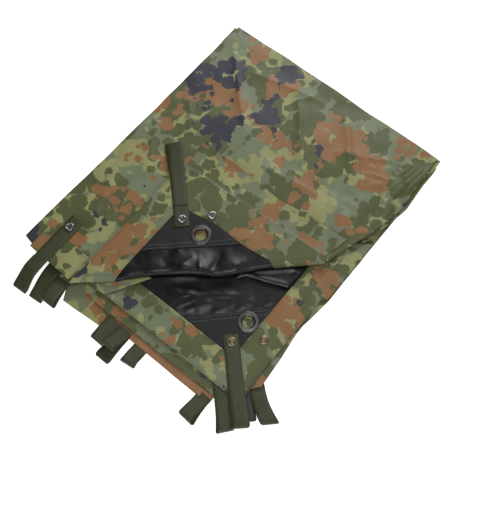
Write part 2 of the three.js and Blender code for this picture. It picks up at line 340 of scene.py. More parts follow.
class Shading:
    """A small helper that adds and links nodes of one material."""

    def __init__(self, name, roughness, metallic=0.0, **constants):
        self.material = bpy.data.materials.new(name)
        self.material.use_nodes = True
        self.nodes = self.material.node_tree.nodes
        self.links = self.material.node_tree.links
        self.shader = self.nodes["Principled BSDF"]
        self.shader.inputs["Roughness"].default_value = roughness
        self.shader.inputs["Metallic"].default_value = metallic
        for key, value in constants.items():
            self.shader.inputs[key.replace("_", " ")].default_value = value

    def add(self, kind, settings=(), **inputs):
        node = self.nodes.new(kind)
        for key, value in dict(settings).items():
            setattr(node, key, value)
        for key, value in inputs.items():
            self.feed(node.inputs[key.replace("_", " ")], value)
        return node

    def feed(self, socket, value):
        if isinstance(value, bpy.types.NodeSocket):
            self.links.new(value, socket)
        else:
            socket.default_value = value

    def math(self, operation, *values, clamp=False):
        node = self.add("ShaderNodeMath", {"operation": operation, "use_clamp": clamp})
        for socket, value in zip(node.inputs, values):
            self.feed(socket, value)
        return node.outputs[0]

    def vector(self, operation, *values, output="Vector"):
        node = self.add("ShaderNodeVectorMath", {"operation": operation})
        for socket, value in zip(node.inputs, values):
            self.feed(socket, value)
        return node.outputs[output]

    def noise(self, vector, scale, detail=2.0, output="Fac"):
        node = self.add("ShaderNodeTexNoise", Vector=vector, Scale=scale, Detail=detail)
        return node.outputs[output]

    def mix(self, factor, a, b):
        """A mix of two colours, by the Mix node's colour sockets."""
        node = self.nodes.new("ShaderNodeMix")
        node.data_type = "RGBA"
        self.feed(node.inputs[0], factor)
        self.feed(node.inputs[6], a)
        self.feed(node.inputs[7], b)
        return node.outputs[2]

    def bump(self, height, distance, strength=1.0):
        node = self.add("ShaderNodeBump", Height=height, Distance=distance, Strength=strength)
        self.links.new(node.outputs["Normal"], self.shader.inputs["Normal"])

    def base(self, factor, dark, light):
        """The base colour: a mix of two hex colours."""
        self.feed(self.shader.inputs["Base Color"], self.mix(factor, linear(dark), linear(light)))

    def rest(self):
        """Where a point lies on the flat cloth, in metres."""
        node = self.nodes.new("ShaderNodeUVMap")
        node.uv_map = "Rest"
        return node.outputs[0]


# Each printed colour: cell size and cluster size in metres, how eagerly it spreads, and the
# places where it gathers, or is held back where the strength is negative, as (x, y, radius,
# strength) in metres on the printed cloth.
PRINT_GROUND = "#6b7358"
PRINT_COLOURS = [
    {"colour": "#898a5b", "cell": 0.019, "cluster": 0.075, "spread": 0.36, "gather": [
        (0.11, 0.10, 0.04, 0.6), (-0.15, -0.13, 0.05, 0.8), (-0.14, -0.17, 0.035, 0.8),
        (-0.04, 0.125, 0.03, 0.35), (-0.137, 3.749, 0.03, 0.8), (13.958, -0.002, 0.02, 0.8),
        (14.10, 0.05, 0.03, 0.7), (12.06, 0.97, 0.04, 0.7), (10.93, 0.86, 0.03, 0.6),
        (7.10, 0.755, 0.07, -0.3)]},
    {"colour": "#505533", "cell": 0.020, "cluster": 0.080, "spread": 0.50, "gather": [
        (0.044, 0.251, 0.03, 0.7), (0.084, 0.133, 0.02, 0.7), (0.002, 0.216, 0.03, 0.5),
        (0.13, 0.24, 0.02, 0.6), (7.08, 0.755, 0.07, -0.22)]},
    {"colour": "#84603c", "cell": 0.018, "cluster": 0.070, "spread": 0.15, "gather": [
        (0.05, 0.195, 0.040, 0.6), (0.150, 0.178, 0.035, 0.6), (0.083, 0.088, 0.03, 0.4),
        (-0.195, -0.05, 0.04, 0.5), (-0.177, -0.122, 0.03, 0.6), (-0.065, 0.213, 0.03, 0.6),
        (-0.133, 0.238, 0.02, 0.5), (0.16, 0.077, 0.02, 0.6), (10.914, 0.83, 0.03, 0.9),
        (10.906, 0.789, 0.025, 0.9), (14.067, 0.02, 0.02, 0.6), (8.178, 0.896, 0.03, 0.8),
        (9.198, 0.994, 0.02, 0.7), (7.066, 0.75, 0.02, 0.6)]},
    {"colour": "#33333e", "cell": 0.015, "cluster": 0.060, "spread": -0.30, "gather": [
        (-0.178, 0.162, 0.055, 1.2), (-0.106, 0.09, 0.045, 1.2), (-0.154, 0.188, 0.03, 1.0),
        (-0.075, 0.25, 0.026, 1.0),
        (-0.064, 0.195, 0.022, 1.0), (-0.045, 0.157, 0.02, 1.0), (-0.214, -0.256, 0.026, 1.2),
        (10.874, 0.78, 0.014, 0.9), (10.895, 0.757, 0.018, 0.9), (10.92, 0.74, 0.012, 0.8),
        (6.978, 0.749, 0.034, 1.2), (6.945, 0.757, 0.014, 0.9), (8.190, 0.827, 0.012, 0.8)]},
]
# The least and the greatest radius of a spot, in cells, and how sharp its edge is.
SMALLEST_SPOT = 0.3
LARGEST_SPOT = 0.74
SPOT_SHARPNESS = 22.0
# How far the print's edges wander, in metres.
PRINT_WANDER = 0.013


def camouflage_material():
    """A generic five-colour spot print on plain-weave laminate."""
    s = Shading("camouflage_print", 0.5, Specular_IOR_Level=0.3, Sheen_Weight=0.05, Sheen_Roughness=0.4)
    rest = s.rest()
    wander = s.noise(rest, 85.0, 2.0, "Color")
    place = s.vector("MULTIPLY_ADD", wander, (PRINT_WANDER, PRINT_WANDER, 0.0), rest)
    colour = linear(PRINT_GROUND)
    for k, ink in enumerate(PRINT_COLOURS):
        moved = s.vector("ADD", place, (3.1 * k + 0.4, 1.7 * k, 0.0))
        settings = {"voronoi_dimensions": "2D"}
        spots = s.add("ShaderNodeTexVoronoi", settings, Vector=moved, Scale=1 / ink["cell"])
        cluster = s.noise(moved, 1 / ink["cluster"], 1.5)
        size = s.math("MULTIPLY_ADD", cluster, 3.2, ink["spread"] - 1.6)
        for x, y, radius, strength in ink["gather"]:
            away = s.vector("DISTANCE", place, (x, y, 0.0), output="Value")
            pull = s.add(
                "ShaderNodeMapRange", {"interpolation_type": "SMOOTHSTEP"},
                Value=away, From_Max=radius * 1.6, To_Min=strength, To_Max=0.0,
            )
            size = s.math("ADD", size, pull.outputs[0])
        size = s.math("MULTIPLY", size, s.math("GREATER_THAN", size, SMALLEST_SPOT))
        room = s.math("SUBTRACT", s.math("MINIMUM", size, LARGEST_SPOT), spots.outputs["Distance"])
        covered = s.math("MULTIPLY", room, SPOT_SHARPNESS, clamp=True)
        colour = s.mix(covered, colour, linear(ink["colour"]))
    fade = s.noise(rest, 30.0, 3.0)
    faded = s.add("ShaderNodeHueSaturation", Color=colour)
    s.feed(faded.inputs["Value"], s.math("MULTIPLY_ADD", fade, 0.5, 0.74))
    s.feed(s.shader.inputs["Base Color"], faded.outputs[0])
    weave = s.add("ShaderNodeTexNoise", Vector=rest, Scale=900.0, Detail=1.0).outputs["Fac"]
    pucker = s.noise(rest, 60.0, 3.0)
    s.bump(s.math("ADD", s.math("MULTIPLY", weave, 0.12), pucker), 0.0011, 0.6)
    return s.material


def russet_material():
    """The same cloth where the print is all russet."""
    s = Shading("russet_print", 0.6)
    rest = s.rest()
    blotch = s.noise(rest, 45.0, 2.0)
    s.base(blotch, "#6d4a2b", "#9a6f45")
    s.bump(s.noise(rest, 90.0, 3.0), 0.0008, 0.5)
    return s.material


def lining_material():
    """Black coated inner side, glossy and finely crinkled."""
    s = Shading("coated_lining", 0.35, Specular_IOR_Level=0.34)
    rest = s.rest()
    cloud = s.noise(rest, 25.0, 3.0)
    s.base(cloud, "#060607", "#0f0f11")
    s.feed(s.shader.inputs["Roughness"], s.math("MULTIPLY_ADD", cloud, 0.2, 0.26))
    crinkle = s.noise(rest, 110.0, 4.0)
    s.bump(crinkle, 0.0007, 0.4)
    return s.material


def patch_material():
    """Black reinforcing cloth with a visible cross weave."""
    s = Shading("patch_cloth", 0.55, Specular_IOR_Level=0.3)
    rest = s.rest()
    cloud = s.noise(rest, 35.0, 3.0)
    s.base(cloud, "#0f0f11", "#1e1e21")
    weave = s.add("ShaderNodeTexChecker", Vector=rest, Scale=900.0).outputs["Fac"]
    s.bump(s.math("ADD", s.math("MULTIPLY", weave, 0.15), s.noise(rest, 80.0, 3.0)), 0.0007, 0.5)
    return s.material


def webbing_material(name, dark, light):
    """Ribbed woven tape with faint lengthwise columns."""
    s = Shading(name, 0.5, Specular_IOR_Level=0.35, Sheen_Weight=0.08, Sheen_Roughness=0.35)
    rest = s.rest()
    parts = s.add("ShaderNodeSeparateXYZ", Vector=rest)
    rib = s.math("SINE", s.math("MULTIPLY", parts.outputs["X"], 2 * math.pi / 0.0016))
    column = s.math("SINE", s.math("MULTIPLY", parts.outputs["Y"], 2 * math.pi / 0.0042))
    cloud = s.noise(rest, 60.0, 3.0)
    shade = s.math("ADD", cloud, s.math("MULTIPLY", column, 0.03))
    s.base(shade, dark, light)
    s.bump(s.math("ADD", rib, s.math("MULTIPLY", column, 0.2)), 0.0002, 0.5)
    return s.material


def metal_material(name, dark, light, roughness):
    """Plated metal, rubbed lighter in places."""
    s = Shading(name, roughness, 1.0)
    place = s.nodes.new("ShaderNodeTexCoord").outputs["Object"]
    wear = s.noise(place, 400.0, 4.0)
    s.base(wear, dark, light)
    s.feed(s.shader.inputs["Roughness"], s.math("MULTIPLY_ADD", wear, 0.3, roughness - 0.12))
    return s.material


def thread_material(name, colour):
    s = Shading(name, 0.7)
    place = s.nodes.new("ShaderNodeTexCoord").outputs["Object"]
    shade = s.noise(place, 700.0, 2.0)
    darker = tuple(0.6 * v for v in linear(colour)[:3]) + (1.0,)
    s.feed(s.shader.inputs["Base Color"], s.mix(shade, darker, linear(colour)))
    return s.material


CAMOUFLAGE = camouflage_material()
RUSSET = russet_material()
LINING = lining_material()
PATCH = patch_material()
WEBBING = webbing_material("green_webbing", "#282b12", "#3b3f22")
# A dark grey webbing, used only for the corner loop that looks dark.
DARK_WEBBING = webbing_material("black_webbing", "#1b1c1f", "#37383c")
GUNMETAL = metal_material("gunmetal", "#3e3c3d", "#6d6b69", 0.36)
NICKEL = metal_material("dark_nickel", "#6b6a68", "#b5b3b0", 0.28)
BRASS = metal_material("antique_brass", "#75684f", "#b8aa8e", 0.27)
GREY_THREAD = thread_material("grey_thread", "#8b8a80")
OLIVE_THREAD = thread_material("olive_thread", "#3a3d28")

# ---- Surfaces that cloth is laid on ----

FOLD_MIDDLE = joint_place("flap_fold")
FOLD_ALONG = -np.array(joint("flap_fold")["axis"][:2])
FOLD_INWARD = np.array([-FOLD_ALONG[1], FOLD_ALONG[0]])
FOLD_HALF = 201.5
# How high the flap's cloth lies where it runs back under the cover.
TONGUE_HEIGHT = 16.8
FLAP_HARDWARE = [node_centre("flap_grommet_eyelet"), node_centre("flap_strap_snap_cap"),
                 node_centre("flap_hem_snap_cap")]
LOWER_HARDWARE = [node_centre("lower_grommet_eyelet"), node_centre("lower_strap_snap_cap"),
                  node_centre("lower_hem_snap_cap")]
# How far round the hardware the cloth is kept flat, and where the fold is pinched up.
HARDWARE_CALM = 24.0
PUCKER = (40.0, -138.0)
COVER_MIDDLE = sum(node_levels("cover_panel")) / 2
FLAP_MIDDLE = sum(node_levels("flap_panel")) / 2
LOWER_MIDDLE = sum(node_levels("lower_mouth_panel")) / 2
STORM_MIDDLE = sum(node_levels("storm_strip")) / 2


def raised(height):
    """The surface of a height function."""

    def surface(x, y):
        return np.stack([x, y, height(x, y)], axis=-1)

    return surface


def calm(x, y, places):
    """0 at the hardware, 1 away from it, so that the cloth lies flat under metal."""
    quiet = np.ones_like(x)
    for place in places:
        quiet = quiet * (1 - hump(x, y, place, HARDWARE_CALM))
    return quiet


def fold_coordinates(x, y):
    """Distance along the flap's fold from its middle, and distance onto the flap."""
    return (
        (x - FOLD_MIDDLE[0]) * FOLD_ALONG[0] + (y - FOLD_MIDDLE[1]) * FOLD_ALONG[1],
        (x - FOLD_MIDDLE[0]) * FOLD_INWARD[0] + (y - FOLD_MIDDLE[1]) * FOLD_INWARD[1],
    )


def flat_point(along, inward):
    """The plan point at fold coordinates."""
    return FOLD_MIDDLE + FOLD_ALONG * along + FOLD_INWARD * inward


COVER_CREASES = (
    ((-198, 232), (-60, 96), 2.2),
    ((-60, 236), (70, 88), 2.4),
    ((30, 250), (150, 120), 2.2),
    ((-196, 110), (-122, 30), 1.6),
    ((-204, -40), (-150, -190), 2.0),
    ((60, 160), (206, 236), 2.6),
    ((-20, 70), (120, 90), 1.8),
    ((-150, 200), (20, 236), 1.6),
    ((-200, 30), (-130, -80), 1.6),
)
FLAP_CREASES = (
    ((-48, -172), (-30, -138), 1.6),
    ((-20, -160), (-8, -124), 1.6),
    ((10, -152), (14, -116), 1.4),
    ((43, -84), (46, -128), -2.4),
    ((-16, -156), (42, -140), 2.4),
    ((40, -143), (98, -98), 2.4),
    ((66, -96), (78, -70), 1.4),
)
LOWER_CREASES = (
    ((28, -208), (46, -158), 1.8),
    ((40, -206), (60, -160), 2.0),
    ((56, -204), (78, -152), 2.4),
    ((70, -190), (84, -150), 1.6),
    ((92, -176), (112, -130), 2.0),
    ((116, -154), (132, -112), 1.8),
    ((140, -128), (152, -92), 1.4),
    ((10, -196), (120, -116), 1.8),
)
STRAP_BED = [tuple(node_centre("left_strap_snap_cap")), tuple(joint_place("left_strap_fold"))]
CRUMPLE_AT = (158, 168)
FAN_AT = (206, 186)


def cover_height(x, y):
    """Middle of the cover: nearly flat by the flap, creased and crumpled towards its right end."""
    open_cover = smooth((y - 30) / 50)
    left_part = smooth((-118 - x) / 30)
    beside_strap = rim_distance(np.stack([x, y], axis=-1), [STRAP_BED])
    loose = np.maximum(open_cover, left_part * 0.7) * smooth((beside_strap - 12) / 26)
    height = COVER_MIDDLE + loose * (3.0 + 1.9 * ripple(x, y, 95, 3) + 1.3 * ripple(x, y, 34, 4))
    fan = np.zeros_like(x)
    for k in range(8):
        angle = math.radians(150 + 14 * k)
        reach = 78 - 22 * (k % 3)
        end = (FAN_AT[0] + reach * math.cos(angle), FAN_AT[1] + reach * math.sin(angle))
        fan = fan + crease(x, y, FAN_AT, end, 3.0 + 1.0 * (k % 2), 4.0)
    for k in range(4):
        start, end = (214 - 8 * k, 256 - 8 * k), (203 - 11 * k, 96 + 18 * k)
        fan = fan + crease(x, y, start, end, 3.6, 2.4)
    crumple = (1 - np.abs(ripple(x, y, 19, 11))) * 4.0 + (1 - np.abs(ripple(x, y, 10, 12))) * 1.6
    crumpled = np.maximum(hump(x, y, CRUMPLE_AT, 42), hump(x, y, (140, 92), 26))
    height = height + loose * (fan + crumple * crumpled)
    return height + loose * 1.5 * creases(x, y, COVER_CREASES, 6.0)


cover_surface = raised(cover_height)


def flap_height(x, y):
    """Middle of the turned-back corner's own cloth."""
    along, inward = fold_coordinates(x, y)
    quiet = calm(x, y, FLAP_HARDWARE)
    inner = smooth((72 - inward) / 30) * smooth((150 - np.abs(along)) / 40)
    folds = 1.2 * ripple(along, inward / 2.6, 24, 21) + 0.6 * ripple(along, inward, 13, 22)
    peak = 4.5 * np.exp(-np.abs(along - fold_coordinates(*PUCKER)[0]) / 7.5) * np.exp(-((inward / 24) ** 2))
    soft = 0.5 * ripple(x, y, 46, 23)
    swollen = 6.0 * np.exp(-(((inward - 7) / 19) ** 2)) * np.exp(-(((along + 20) / 90) ** 2))
    relief = folds + peak + swollen + creases(x, y, FLAP_CREASES, 5.0) + 1.0
    return np.maximum(FLAP_MIDDLE + quiet * (inner * relief + soft), FLAP_MIDDLE - 0.6)


def bulge(along):
    """How far the fold's edge swells out over the mouth."""
    return 10.0 * np.exp(-(((along - 34) / 52) ** 2)) + 3.5 * np.exp(-(((along + 137) / 34) ** 2))


def flap_surface(x, y):
    """The flap's cloth. Beyond the fold line it rolls over and runs back under the cover."""
    along, inward = fold_coordinates(x, y)
    at_fold = flat_point(along[:, None], np.zeros_like(along)[:, None])
    top = flap_height(at_fold[:, 0], at_fold[:, 1])
    radius = (top - TONGUE_HEIGHT) / 2
    angle = np.clip(inward / radius + math.pi / 2 - 1, -math.pi / 2, math.pi / 2)
    under = inward < -(math.pi - 1) * radius
    returned = np.where(under, -inward - (math.pi - 1) * radius + radius, 0)
    settled = np.where(inward > radius, inward, np.where(under, returned, radius * (1 - np.cos(angle))))
    height = TONGUE_HEIGHT + radius + radius * np.sin(angle)
    height = height + (flap_height(x, y) - top) * smooth(inward / 14)
    swell = bulge(along) * (1 - smooth(np.abs(settled) / 42))
    plan = flat_point(along[:, None], (settled - swell)[:, None])
    return np.stack([plan[:, 0], plan[:, 1], height], axis=-1)


def lower_height(x, y):
    """Middle of the lower mouth panel. Deep in the mouth it climbs to meet the cover."""
    along, inward = fold_coordinates(x, y)
    quiet = calm(x, y, LOWER_HARDWARE)
    inner = smooth((-inward + 4) / 16) * smooth((inward + 116) / 34)
    folds = 1.5 * ripple(along + 0.35 * inward, inward / 2.2, 19, 31) + 0.7 * ripple(x, y, 12, 32)
    climb = 6.0 * smooth((inward - 34) / 40)
    sag = -1.6 * smooth((inward + 60) / 50) * smooth((30 - inward) / 20)
    relief = 0.5 * folds + 0.8 * creases(x, y, LOWER_CREASES, 4.5) + 0.6
    return LOWER_MIDDLE + quiet * (inner * relief + 0.3 * ripple(x, y, 50, 33)) + climb + sag * inner


lower_surface = raised(lower_height)


def level_surface(level, seed, amount):
    """A nearly flat surface at a height."""
    return raised(lambda x, y: level + amount * ripple(x, y, 70, seed))


# ---- The folded sack under the cover ----


def wavy(loop, amount, seed, step=16.0):
    """The outline with a slight hand-folded waver."""
    points = dense(loop, step)
    x, y = points.T
    return points + amount * np.stack([ripple(x, y, 40, seed), ripple(x, y, 40, seed + 1)], axis=1)


# The fold beside the left loops runs on to the right, under the middle loops, by this much, and
# the front hem begins just before its end.
LEFT_FOLD_RUN = 20.0
FRONT_HEM_START = -16.5


def fold_stack(node, count, material=CAMOUFLAGE, waver=1.3):
    """Several doubled layers of cloth, one on another, in the room of one CAD node."""
    low, high = node_levels(node)
    pitch = (high - low) / count
    loop = node_loops(node)[0]
    if node == "lower_left_fold":
        loop = [(x + LEFT_FOLD_RUN if x > -60 else x, y) for x, y in loop]
    if node == "lower_front_hem":
        loop = [(max(x, FRONT_HEM_START), y) for x, y in loop]
    made = []
    for k in range(count):
        level = low + pitch * (k + 0.5)
        seed = 100 + 7 * k + 31 * len(node)
        outline = wavy(loop, waver, seed)
        piece = cloth(
            f"{node}_layer_{k + 1}", [outline], level_surface(level, 50, 0.12), (material, material),
            thick=pitch * 0.94, step=15.0, rim_step=5.0, print_at=(1 + k, 2 + 0.31 * k),
        )
        settle(piece, "pack", "camouflage", node)
        made.append(piece)
    return made


def build_sack():
    """The layers under the cover, each lying on the one before."""
    for node, count in (("base_panel", 2), ("under_panel", 2), ("sack_fold_left", 5), ("sack_fold_back", 5)):
        for piece in fold_stack(node, count):
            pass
    for node, material in (("lower_front_hem", RUSSET), ("lower_left_fold", CAMOUFLAGE)):
        for piece in fold_stack(node, 2, material, 0.6):
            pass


# ---- Stitches ----

# A stitch's length, the gap to the next, and half the thread's thickness.
STITCH = 2.6
STITCH_GAP = 1.1
THREAD = 0.42
# How far a seam stays from the cloth's edges, and the shortest edge that has one.
SEAM_MARGIN = 3.0
SHORTEST_SEAM = 45.0


def stitches(name, rows, material):
    """Rows of thread as one mesh. Each row is (surface, start, end, lift)."""
    points, faces = [], []
    for surface, start, end, lift in rows:
        start, end = np.array(start, float), np.array(end, float)
        length = np.hypot(*(end - start))
        count = max(1, int(length / (STITCH + STITCH_GAP)))
        steps = np.arange(count) * (STITCH + STITCH_GAP) / length
        for first in steps:
            ends = start + (end - start) * np.array([[first], [first + STITCH / length]])
            x, y = ends.T
            normal = normals_of(surface, x, y)
            a, b = surface(x, y) + normal * lift
            middle = (a + b) / 2
            up = normal[0] * THREAD
            side = np.cross(b - a, normal[0])
            side = side / np.linalg.norm(side) * THREAD
            base = len(points)
            points.extend([a, b, middle + side, middle + up, middle - side, middle - up])
            for k in range(4):
                this, following = base + 2 + k, base + 2 + (k + 1) % 4
                faces.append((base, following, this))
                faces.append((base + 1, this, following))
    made = make_mesh(name, points, faces, [material])
    return made


def border_rows(loop, surface, lift):
    """A row of stitches just inside each long edge of an outline."""
    return [
        (surface, *inner_line(a, b, SEAM_MARGIN), lift)
        for a, b in zip(loop, loop[1:] + loop[:1])
        if np.hypot(*np.subtract(b, a)) > SHORTEST_SEAM
    ]


def inner_line(a, b, away):
    """A straight row beside the line from a to b, moved sideways by away and shortened a little."""
    a, b = np.array(a, float), np.array(b, float)
    run = (b - a) / np.hypot(*(b - a))
    side = np.array([-run[1], run[0]]) * away
    return a + run * SEAM_MARGIN + side, b - run * SEAM_MARGIN + side


# ---- Webbing ----

WEBBING_THICKNESS = 1.25
STRAP_WIDTH = 24.6
SECTION_STEPS = 6
# Over this length of webbing its two halves part sideways round the tip.
SKEW_RUN = 14.0


def ribbon(name, root, heading, path, width, material, sway, roll, skew):
    """Webbing of a rounded flat section along a path of (distance, height) points. It stands in
    the upright plane through root and heading, sways sideways and rolls a little towards its tip.
    skew moves its two halves apart sideways towards the tip, where its bend then lies aslant."""
    path = np.array(path, float)
    steps = np.linalg.norm(np.diff(path, axis=0), axis=1)
    travelled = np.concatenate([[0], np.cumsum(steps)])
    tangent = np.gradient(path, axis=0)
    tangent /= np.maximum(np.linalg.norm(tangent, axis=1, keepdims=True), 1e-9)
    heading = np.array([heading[0], heading[1], 0.0])
    side = np.array([-heading[1], heading[0], 0.0])
    reach = np.clip(path[:, 0] / path[:, 0].max(), 0, 1)
    half = smooth((travelled - travelled[np.argmax(path[:, 0])]) / SKEW_RUN + 0.5)
    centre = (
        np.array([root[0], root[1], 0.0])
        + heading * path[:, :1]
        + np.array([0, 0, 1.0]) * path[:, 1:]
        + side * (sway * reach**2 + skew * reach**2 * (half - 0.5))[:, None]
    )
    up = -tangent[:, 1:] * heading + tangent[:, :1] * np.array([0, 0, 1.0])
    lean = (roll * reach**2)[:, None]
    across = side * np.cos(lean) + up * np.sin(lean)
    normal = up * np.cos(lean) - side * np.sin(lean)
    flat_half = width / 2 - WEBBING_THICKNESS / 2
    section = [(t, WEBBING_THICKNESS / 2) for t in np.linspace(flat_half, -flat_half, SECTION_STEPS)]
    section += [(-width / 2, 0.0)]
    section += [(t, -WEBBING_THICKNESS / 2) for t in np.linspace(-flat_half, flat_half, SECTION_STEPS)]
    section += [(width / 2, 0.0)]
    ring = len(section)
    points, uv = [], []
    for k in range(len(path)):
        for u, v in section:
            points.append(centre[k] + across[k] * u + normal[k] * v)
            uv.append((travelled[k] * MM + 0.3 * len(name), (u + width) * MM))
    faces = []
    for k in range(len(path) - 1):
        for j in range(ring):
            a, b = k * ring + j, k * ring + (j + 1) % ring
            faces.append((a, b, b + ring, a + ring))
    faces.append(tuple(range(ring))[::-1])
    faces.append(tuple(range((len(path) - 1) * ring, len(path) * ring)))
    made = make_mesh(name, points, faces, [material], uv=uv)
    made.data.set_sharp_from_angle(angle=math.radians(50))
    return made


def loop_path(start, length, low, tip_low, eye, level, back_to):
    """The middle line of doubled webbing: out along its lower half, round the tip, back on top.
    It is level until level, then slopes to tip_low, and its upper half ends at back_to."""
    thick = WEBBING_THICKNESS + 0.15
    radius = max(eye, thick) - thick / 2
    end = length - radius - thick / 2
    out = np.linspace(start, end, 26)
    slope = smooth((out - level) / max(end - level, 1))
    lower = low + thick / 2 + (tip_low - low) * slope
    angles = np.linspace(-math.pi / 2, math.pi / 2, 11)[1:-1]
    tip_middle = tip_low + thick / 2 + radius
    tip = [(end + radius * math.cos(a), tip_middle + radius * math.sin(a)) for a in angles]
    back = np.linspace(end, back_to, 24)
    slope = smooth((back - level * 0.8) / max(end - level * 0.8, 1))
    root_top = low + thick * 1.5
    upper = root_top + (tip_middle + radius - root_top) * slope
    return list(zip(out, lower)) + tip + list(zip(back, upper))


def hinge_frame(name):
    """The root point and the outward heading of a webbing loop, from its hinge."""
    axis = np.array(joint(name)["axis"][:2])
    return joint_place(name), np.array([-axis[1], axis[0]]) / np.hypot(*axis)


# Each loop's node and hinged body, how wide its eye opens, how it sways, rolls and skews, how far
# its root slides sideways, and how high it is lifted at its tip where it lies over its neighbour.
PEG_LOOPS = [
    ("left_loop_outer", "left_loop_outer", 2.6, 7.0, 0.03, 3.0, -5.5, 0.0),
    ("left_loop_inner", "left_loop_inner", 4.5, 4.5, -0.03, -3.0, -6.6, 5.4),
    ("middle_loop_left", "middle_loop_left", 2.6, 2.5, 0.03, 3.0, 0.6, 0.0),
    ("middle_loop_centre", "middle_loop_stack", 4.0, -2.0, -0.03, -3.0, -0.6, 5.2),
    ("middle_loop_small", "middle_loop_stack", 0.0, 0.5, 0.0, 5.0, 0.0, 0.0),
    ("middle_loop_right", "middle_loop_right", 6.0, 1.5, 0.12, 6.0, 0.0, 0.0),
    ("corner_loop_left", "corner_loop_left", 5.0, 1.5, -0.06, -6.0, 0.0, 0.0),
    ("corner_loop_front", "corner_loop_front", 6.0, -1.0, 0.08, 5.0, 4.5, 0.0),
    ("corner_loop_side", "corner_loop_side", 5.0, 9.5, -0.08, -5.0, -8.5, 3.0),
    ("corner_loop_dark", "corner_loop_dark", 2.5, 0.0, 0.0, 4.0, -2.0, 0.0),
]
# How far in under the hem a loop starts.
ROOT_UNDER_HEM = 9.0
DEEP_ROOTED = {"corner_loop_dark": 16.0}
# This loop comes out from under the lower hem, over the layer below: how far in it starts, how
# high it lies there, and where it begins to slope.
HIGH_ROOTED = {"corner_loop_front": (36.0, 6.5, -16.0)}


def build_peg_loops():
    for node, body, eye, sway, roll, skew, slide, lift in PEG_LOOPS:
        root, heading = hinge_frame(body + "_fold")
        side = np.array([-heading[1], heading[0]])
        points = node_points(node)
        out, across = (points[:, :2] - root) @ heading, (points[:, :2] - root) @ side
        at_root, at_tip = points[out < 1.0][:, 2], points[out > out.max() - 4][:, 2]
        plain_root = (DEEP_ROOTED.get(node, ROOT_UNDER_HEM), at_root.min(), 0.0)
        under, low, level = HIGH_ROOTED.get(node, plain_root)
        path = loop_path(-under, out.max(), low, at_tip.min() + lift, eye, level, -under)
        middle = root + side * ((across.min() + across.max()) / 2 + slide)
        material = DARK_WEBBING if node == "corner_loop_dark" else WEBBING
        width = np.ptp(across) - 0.4
        piece = ribbon(node + "_webbing", middle, heading, path, width, material, sway, roll, skew)
        bend(piece)
        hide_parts(node)


def build_strap(name, short, eye, sway, roll, skew):
    """A strap sewn down as a tab, with its loop beyond the seam. It stops short of its CAD node's
    tip by short, or runs past it where that is negative."""
    root, heading = hinge_frame(name + "_fold")
    loop, tab = node_points(name + "_loop"), node_points(name + "_tab")
    length = ((loop[:, :2] - root) @ heading).max() - short
    tab_reach = -((tab[:, :2] - root) @ heading).min()
    out = (loop[:, :2] - root) @ heading
    low = tab[:, 2].min()
    tip_low = loop[out > length - 4 + short][:, 2].min()
    path = loop_path(-tab_reach, length, low, tip_low, eye, min(60.0, length * 0.4), 1.5)
    piece = ribbon(name + "_webbing", root, heading, path, STRAP_WIDTH, WEBBING, sway, roll, skew)
    bend(piece)
    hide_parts(name + "_loop", name + "_tab")
    return root, heading, low


# The two rows of stitches across a strap: how far they are behind its hinge, half their length,
# and how high the strap's upper side is there.
STRAP_SEAMS = (3.0, 7.0)
STRAP_SEAM_HALF = 10.5
STRAP_SEAM_LIFT = 1.42


def build_straps():
    for name, parent, short, eye, sway, roll, skew in (
        ("flap_strap", "flap", 6.0, 5.5, 3.0, 0.10, -5.0),
        ("lower_strap", "pack", 0.0, 5.5, 0.0, -0.05, 6.0),
        ("left_strap", "pack", -3.0, 1.8, 4.5, 0.06, -4.0),
    ):
        root, heading, low = build_strap(name, short, eye, sway, roll, skew)
        side = np.array([-heading[1], heading[0]]) * STRAP_SEAM_HALF
        top = level_surface(low + STRAP_SEAM_LIFT, 1, 0.0)
        middles = [root - heading * back for back in STRAP_SEAMS]
        rows = [(top, middle - side, middle + side, 0.0) for middle in middles]
        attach(stitches(name + "_stitches", rows, OLIVE_THREAD), parent)


# ---- Hardware ----


def turned(name, profile, node, material, body, slot, base=0.0, steps=48):
    """A ring or cap: a closed profile of (radius, height above base) points, spun round a node's
    centre."""
    x, y = node_centre(node)
    angles = np.arange(steps) * 2 * math.pi / steps
    points = [(x + r * math.cos(a), y + r * math.sin(a), base + z) for a in angles for r, z in profile]
    count = len(profile)
    faces = []
    for k in range(steps):
        for j in range(count):
            a, b = k * count + j, k * count + (j + 1) % count
            c, d = (k + 1) % steps * count + (j + 1) % count, (k + 1) % steps * count + j
            faces.append((a, d, c, b))
    made = make_mesh(name, points, faces, [material])
    made.data.set_sharp_from_angle(angle=math.radians(38))
    settle(made, body, slot, node)


def arc(centre, radius, start, end, count):
    """Points of an arc in a profile, angles in degrees."""
    angles = np.radians(np.linspace(start, end, count))
    return [(centre[0] + radius * math.cos(a), centre[1] + radius * math.sin(a)) for a in angles]


def build_grommet(name, body):
    """An eyelet with a rolled flange on top, and the washer behind the fabric."""
    low, high = node_levels(name + "_eyelet")
    flange = high - 1.7
    ring = [(9.7, low), (11.3, low), (11.3, flange)]
    ring += [(17.5, flange), (17.5, flange + 0.4)]
    ring += arc((16.0, flange + 0.4), 1.0, 20, 95, 4)
    ring += arc((12.0, flange + 0.1), 1.6, 80, 150, 5)
    ring += [(9.7, flange + 0.2)]
    turned(name + "_ring", ring, name + "_eyelet", GUNMETAL, body, "gunmetal", steps=64)
    low, high = node_levels(name + "_washer")
    washer = [(11.7, low), (15.4, low), (15.4, high), (11.7, high)]
    turned(name + "_back_ring", washer, name + "_washer", GUNMETAL, body, "gunmetal", steps=64)


